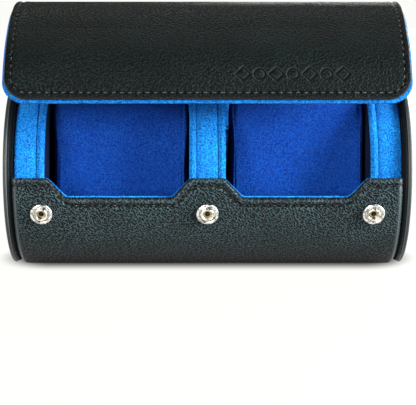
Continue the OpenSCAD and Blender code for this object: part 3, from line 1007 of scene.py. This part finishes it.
def cushion_section():
    """Directions and reaches of the section's outline, seen from a point inside it."""
    outline = []
    for turn in range(section_points):
        way = at(1, 2 * math.pi * turn / section_points)
        low, high = 0.0, 60 * mm
        for _ in range(section_halvings):
            half = (low + high) / 2
            low, high = (half, high) if outside_cushion(cushion_middle + way * half) < 0 else (low, half)
        outline.append((way, low))
    return outline


def swell(piece, pinned, reach):
    """Lets the cover fill out like sewn cloth under pressure, with its seams and its seat held. No point
    moves further than the reach."""
    rest = [v.co.copy() for v in piece.data.vertices]
    pins = piece.vertex_groups.new(name="held")
    pins.add(pinned, 1.0, "REPLACE")
    cloth = piece.modifiers.new("cloth", "CLOTH")
    cloth.settings.use_pressure = True
    cloth.settings.uniform_pressure_force = fill_pressure
    cloth.settings.vertex_group_mass = "held"
    cloth.settings.effector_weights.gravity = 0
    cloth.settings.tension_stiffness = cover_tension
    cloth.settings.bending_stiffness = cover_bending
    cloth.point_cache.frame_start = 1
    cloth.point_cache.frame_end = fill_frames
    for now in range(1, fill_frames + 1):
        scene.frame_set(now)
    shaped = piece.evaluated_get(bpy.context.evaluated_depsgraph_get()).to_mesh()
    filled = [v.co.copy() for v in shaped.vertices]
    piece.modifiers.remove(cloth)
    for vertex, before, after in zip(piece.data.vertices, rest, filled):
        move = after - before
        vertex.co = before + (move if move.length < reach else move.normalized() * reach)
    scene.frame_set(1)


# How far in from a cushion's end its rings of points lie, and how far out from the middle of its end face.
cushion_end_steps = [
    0, 0.35 * mm, 0.9 * mm, 1.6 * mm, 2.2 * mm, cushion_seam, 3.0 * mm, 3.7 * mm, 4.8 * mm, 6.6 * mm,
]
cushion_face_shares = [0.12, 0.4, 0.65, 0.85]


def cushion_rings(half):
    """The cushion's rings, as (x, share of the section, distance to the nearer end). The share is 1 but for
    the end faces, which lie a little slack."""
    steps = cushion_end_steps + spread(9 * mm, half, 2.4 * mm)
    slack = [(half - cushion_slack * (1 - share), share) for share in cushion_face_shares]
    rings = [(-x, share, 0.0) for x, share in slack]
    rings += [(step - half, 1.0, step) for step in steps]
    rings += [(half - step, 1.0, step) for step in reversed(steps[:-1])]
    return rings + [(x, share, 0.0) for x, share in reversed(slack)]


def cushion(name, cover, body, replaced):
    """One cushion's cover, filled out and riding on its body."""
    low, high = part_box(cover)
    middle, half = (low.x + high.x) / 2, (high.x - low.x) / 2
    outline = cushion_section()
    rings = cushion_rings(half)
    points, pinned = [], []
    for x, share, gap in rings:
        face = share < 1
        groove = 0 if face else cushion_groove * hump(gap, cushion_seam, cushion_seam_width)
        for way, reach in outline:
            on_seam = not face and abs(gap - cushion_seam) < cushion_seam_width / 2
            if on_seam or way.y < -0.8:
                pinned.append(len(points))
            out = (reach - fall(gap, cushion_roll) - cushion_slack - groove) * share
            points.append(in_space(middle + x, cushion_middle + way * out))
    mesh = new_mesh(name, points, tube_faces(len(rings), section_points), cushion_painted_shade)
    piece = place_in_scene(name, mesh)
    swell(piece, pinned, cushion_fill_reach)
    smooth = piece.modifiers.new("smooth", "SUBSURF")
    smooth.levels = smooth.render_levels = 1
    shaped = bpy.data.meshes.new_from_object(piece.evaluated_get(bpy.context.evaluated_depsgraph_get()))
    piece.modifiers.clear()
    piece.data = shaped
    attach(piece, body)
    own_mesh(piece)
    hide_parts(*replaced)


for side in ("left", "right"):
    parts = [f"cushion_{side}_{part}" for part in ("cover", "foam", "front_cover", "front_foam")]
    cushion(f"cushion_{side}_pillow", parts[0], f"cushion_{side}", parts)

# --- The press studs ---
# Three nickel-plated sockets with a rolled rim and a raised ring, each held by a brass rivet through the
# board. The studs that they take are set in the lip in the same way, and handling has clouded the plating.

haze_group, wires, given, made = new_group(
    "metal_haze", {"Fineness": 700.0, "Bright": 0.2, "Dull": 0.45}, {"Haze": "Float", "Roughness": "Float"},
)
haze = wires.noise(given["Fineness"], Vector=wires.place(), Detail=3.0)
haze_roughness = wires.ramp(haze, 0.3, 0.7, given["Bright"], given["Dull"])
wires.fill(made, Haze=haze, Roughness=haze_roughness)

nickel_cloudy = (0.40, 0.38, 0.33, 1)
nickel_clean = (0.86, 0.85, 0.82, 1)
nickel_finish, wires, nickel_shader = new_material("polished_nickel")
nickel_haze = wires.group(haze_group, Fineness=700.0, Bright=0.2, Dull=0.45)
nickel_colour = wires.mix(wires.ramp(nickel_haze["Haze"], 0.40, 0.56), nickel_cloudy, nickel_clean)
wires.fill(
    nickel_shader, Base_Color=nickel_colour, Metallic=1.0, Roughness=nickel_haze["Roughness"],
    Normal=wires.bump(0.05 * mm, nickel_haze["Haze"]),
)
finish_nodes(nickel_finish, "snap_sockets", "snap_springs", "snap_studs")

brass_brown = (0.30, 0.21, 0.09, 1)
brass_yellow = (0.55, 0.42, 0.20, 1)
brass_finish, wires, brass_shader = new_material("brass")
brass_haze = wires.group(haze_group, Fineness=900.0, Bright=0.3, Dull=0.5)
brass_colour = wires.mix(brass_haze["Haze"], brass_brown, brass_yellow)
wires.fill(brass_shader, Base_Color=brass_colour, Metallic=1.0, Roughness=brass_haze["Roughness"])
finish_nodes(brass_finish, "snap_rivets", "snap_stud_caps")

# --- The lid and its lip ---
# The same leather over a curved board, hinged along the barrel's back. Past a crease the last third is
# softer: this lip carries the studs and springs a little outwards. All its free edges are rolled and sewn.

lid_joint = next(j for j in frame["joints"] if j["name"] == "lid_hinge")
lip_joint = next(j for j in frame["joints"] if j["name"] == "lip_flex")
lid_half = 88 * mm
lid_narrow_half = shell_half - 0.5 * mm
taper_front = 33.6 * mm
taper_back = 13 * mm
lid_radius = 46.62 * mm
lid_leather_depth = 2.6 * mm
lid_suede_depth = 1.4 * mm
lid_suede_roll = 0.65 * mm
front_reveal = 1.6 * mm
side_reveal = 0.9 * mm
crease_turn = math.radians(12)
crease_band = 7 * mm
lid_back_turn = math.radians(165.92)
lid_front_turn = math.radians(-33.376)
lip_corner = 10 * mm
lid_roll = 1.3 * mm
lid_seam_inset = 3.0 * mm
lid_dark_band_width = 0.7 * mm
lid_rub = 0.7 * mm
lid_pitch = 3.6 * mm
lid_open = math.radians(-lid_joint["range_deg"][0])
lip_splay = math.radians(-lip_joint["range_deg"][0])


def joint_spot(joint):
    """A joint's place in the section."""
    _, y, z = joint["pos_m"]
    return Vector((-y, z - axis_height))


hinge_spot, crease_spot = joint_spot(lid_joint), joint_spot(lip_joint)
lid_centre = crease_spot - at(lid_radius, crease_turn + lid_open)
shut_centre = hinge_spot + Matrix.Rotation(-lid_open, 2) @ (lid_centre - hinge_spot)


def lid_spot(turn, depth):
    """Section point of the lid at a turn round it, where 0 faces the front when it is shut."""
    spot = lid_centre + at(lid_radius - depth, turn + lid_open)
    if turn < crease_turn:
        spot = crease_spot + Matrix.Rotation(lip_splay, 2) @ (spot - crease_spot)
    return spot


def lid_side(turn, end, corner, wider=0.0):
    """Half the lid's width at a turn, and half of it without the round corners."""
    front = shut_centre.x + lid_radius * math.cos(turn)
    share = held((taper_front - front) / (taper_front + taper_back))
    side = lid_half - (lid_half - lid_narrow_half) * share + wider * (1 - share)
    gap = lid_radius * math.sin(min(turn - end, math.pi / 2))
    cut = corner - math.sqrt(corner ** 2 - (corner - gap) ** 2) if gap < corner else 0.0
    return side - cut, side


def lid_gap(x, side, gap, corner):
    """Distance to the nearest free edge, from a point gap away from the front one."""
    aside = side - abs(x)
    if gap < corner and aside < corner:
        return corner - math.hypot(corner - gap, corner - aside)
    return min(gap, aside)


# The row of pressed motifs near the lip's right end: diamonds and rings in turn.
motif_count = 7
motif_size = 7.9 * mm
motif_ring = 5.9 * mm
motif_pitch = 7.2 * mm
motif_centre = 37 * mm
motif_turn = math.radians(-19.3)
motif_line = 1.2 * mm
motif_depth = 0.5 * mm
motif_wall = 0.35 * mm
motif_band = 4.6 * mm

# How close the lid's points lie: over the motifs, over the same place in the lining, and elsewhere.
motif_step = 0.28 * mm
plain_step = 2.5 * mm
lid_step = 2 * mm


def pressed(x, turn):
    """How deep the leather is pressed here, from 0 to 1."""
    up = lid_radius * (turn - motif_turn)
    deepest = 0.0
    if abs(up) > motif_size:
        return deepest
    for k in range(motif_count):
        across = x - motif_centre - (k - (motif_count - 1) / 2) * motif_pitch
        if abs(across) < motif_size:
            if k % 2 == 0:
                middle = motif_size / 2 - motif_line / math.sqrt(2)
                gap = abs(abs(across) + abs(up) - middle) / math.sqrt(2)
            else:
                gap = abs(math.hypot(across, up) - motif_ring / 2 + motif_line / 2)
            deepest = max(deepest, eased(0.5 + (motif_line / 2 - gap) / motif_wall))
    return deepest


def lid_seam_line():
    """The seam as (x, arc from the lip's edge) points."""
    steps = 10
    corner = lip_corner - lid_seam_inset
    right = []
    for k in range(steps + 1):
        angle = math.pi / 2 * k / steps
        aside = lid_half - lip_corner + corner * math.sin(angle)
        right.append(Vector((aside, lip_corner - corner * math.cos(angle))))
    back_arc = (lid_back_turn - lid_front_turn) * lid_radius
    for arc in spread(lip_corner + 1 * mm, back_arc - 1 * mm, 6 * mm):
        _, side = lid_side(lid_front_turn + arc / lid_radius, lid_front_turn, lip_corner)
        right.append(Vector((side - lid_seam_inset, arc)))
    left = [Vector((-p.x, p.y)) for p in reversed(right)]
    return left + right


def lid_sheet(name, depth, thickness, roll, reveal, finishes, seam):
    """A sheet over lid and lip, from the lip's free edge to the rear edge at the hinge."""
    end = lid_front_turn - reveal / lid_radius
    corner_steps = [lip_corner * (1 - math.cos(math.radians(step))) for step in range(0, 91, 9)]
    crease_arc = (crease_turn - end) * lid_radius
    motif_arc = (motif_turn - end) * lid_radius
    back_arc = (lid_back_turn - end) * lid_radius
    fine = motif_step if seam else plain_step
    motif_low, motif_high = motif_arc - motif_band, motif_arc + motif_band
    crease_low, crease_high = crease_arc - crease_band, crease_arc + crease_band
    arcs = merge_places(
        corner_steps, [0.35 * mm], seam_steps if seam else [], spread(motif_low, motif_high, fine),
        spread(crease_low, crease_high, 1 * mm), spread(motif_high, crease_low, lid_step),
        spread(crease_high, back_arc, 2.6 * mm),
    )
    ends = [side * (lid_half - step) for side in (-1, 1) for step in edge_steps + seam_steps]
    row_half = motif_pitch * motif_count / 2 + 1 * mm
    row_left, row_right = motif_centre - row_half, motif_centre + row_half
    columns = merge_places(
        ends, spread(8 * mm - lid_half, row_left, lid_step), spread(row_left, row_right, fine),
        spread(row_right, lid_half - 8 * mm, lid_step),
    )
    seam_line = lid_seam_line()
    outer, inner, rims, pressings, nears, runs, flats, bands = [], [], [], [], [], [], [], []
    for arc in arcs:
        turn = end + arc / lid_radius
        side, full_side = lid_side(turn, end, lip_corner, min(reveal, side_reveal))
        front_gap = lid_radius * math.sin(min(arc / lid_radius, math.pi / 2))
        outer.append([])
        inner.append([])
        for column in columns:
            x = column / lid_half * side
            gap = max(0.0, lid_gap(x, full_side, front_gap, lip_corner))
            if abs(x) > side - 1e-7:
                gap = 0.0
            near_seam = seam and gap < seam_reach
            seam_gap, run = nearest_on(seam_line, Vector((x, arc))) if near_seam else (1.0, 0.0)
            dip = seam_dip(seam_gap) if seam else 0.0
            press = pressed(x, turn) if seam else 0.0
            drop = fall(gap, roll)
            outer[-1].append(in_space(x, lid_spot(turn, depth + drop + dip + press * motif_depth)))
            inner[-1].append(in_space(x, lid_spot(turn, depth + thickness - drop * (0.2 if seam else 1))))
            rims.append(max(0.0, 1 - gap / lid_rub) if seam else 0.0)
            pressings.append(press)
            nears.append(max(0.0, seam_reach - seam_gap))
            runs.append(run)
            flats += [x, arc, 0]
            # A darker band between the free edge and the seam.
            bands.append(held((lid_seam_inset - gap) / lid_dark_band_width) if seam else 0.0)
    masks = {
        "rim": rims * 2, "pressed": pressings + [0.0] * len(pressings), "turned": bands * 2,
        "seam_near": nears + [0.0] * len(nears), "seam_run": runs * 2, "flat": flats * 2,
    }
    return sheet_mesh(name, outer, inner, masks, finishes)


def bend_at_crease(piece):
    """Bakes the piece's place into its mesh; leather and suede already run on over the crease between lid and
    lip.
    """
    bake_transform(piece)


# The lid and hinge take the barrel's leather in far darker colours, as painted shade.
lid_pit_painted_shade = (0.0005, 0.0010, 0.0010)
lid_net_painted_shade = (0.0072, 0.0130, 0.0130)
lid_rim = (0.060, 0.052, 0.046)
lid_brink_highlight = (0.030, 0.036, 0.035)
lid_painted_shade_finish = leather(
    "lid_leather_grain_painted_shade", 860, 0.25 * mm, (lid_pit_painted_shade, lid_net_painted_shade, lid_rim, lid_brink_highlight), (0.65, 0.4, 0.11),
    pitch=lid_pitch,
)
lid_skin = lid_sheet("lid_skin", 0.0, lid_leather_depth, lid_roll, 0.0, [lid_painted_shade_finish], True)
bend_at_crease(lid_skin)
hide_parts("lid_leather", "lip_leather")

lid_lining = lid_sheet(
    "lid_suede", lid_leather_depth, lid_suede_depth, lid_suede_roll, front_reveal, [lining_finish], False
)
bend_at_crease(lid_lining)
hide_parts("lid_lining", "lip_lining")

# --- The sewing round the lid ---
# The same thread runs up one side of the lid, round the lip and down the other side, coloured paler than on
# the front panel as painted light. It holds leather and suede together, and bends with them at the crease.


def on_lid(flat, depth):
    """A place on the lid's leather, or deeper, from a point of its flat outline."""
    turn = lid_front_turn + flat.y / lid_radius
    return in_space(flat.x, lid_spot(turn, seam_depth + depth))


lid_thread_painted_light = thread("thread_painted_light", (0.02, 0.03, 0.032), (0.07, 0.09, 0.095))
lid_stitches = sew("lid_stitches", lid_seam_line(), on_lid, lid_pitch, lid_thread_painted_light)
bend_at_crease(lid_stitches)

# --- The hinge ---
# Between the barrel's board and the lid's the leather is left bare, and bends along its outer face. Suede is
# glued inside it, and its ends are rolled in.

hinge_thickness = 1.2 * mm
hinge_roll = 0.5 * mm
hinge_rub = 0.6 * mm
hinge_step = 3 * mm
barrel_end = at(barrel_radius, rear_edge_angle)
lid_end = lid_spot(lid_back_turn, 0)


def hinge_sheet(name, depth, thickness, roll, finishes):
    """Follows a curve from the barrel's edge to the lid's, drawn towards the hinge line."""
    steps = 16
    line = []
    for k in range(steps + 1):
        share = k / steps
        left = 1 - share
        line.append(barrel_end * left ** 2 + hinge_spot * 2 * share * left + lid_end * share ** 2)
    ends = [side * (lid_narrow_half - step) for side in (-1, 1) for step in edge_steps]
    between = lid_narrow_half - hinge_step
    columns = merge_places(ends, spread(-between, between, hinge_step))
    outer, inner, rims, flats = [], [], [], []
    for k, spot in enumerate(line):
        way = (line[min(k + 1, steps)] - line[max(k - 1, 0)]).normalized()
        inward = Vector((way.y, -way.x))
        outer.append([])
        inner.append([])
        for x in columns:
            gap = lid_narrow_half - abs(x)
            outer[-1].append(in_space(x, spot + inward * (depth + fall(gap, roll))))
            inner[-1].append(in_space(x, spot + inward * (depth + thickness - fall(gap, roll) * 0.5)))
            rims.append(max(0.0, 1 - gap / hinge_rub))
            flats += [x, spot.y, 0]
    piece = sheet_mesh(name, outer, inner, {"rim": rims * 2, "flat": flats * 2}, finishes)
    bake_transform(piece)
    return piece


hinge_skin = hinge_sheet("hinge_skin", 0.0, hinge_thickness, hinge_roll, [lid_painted_shade_finish, lining_finish])
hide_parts("hinge_strip_barrel", "hinge_strip_lid")
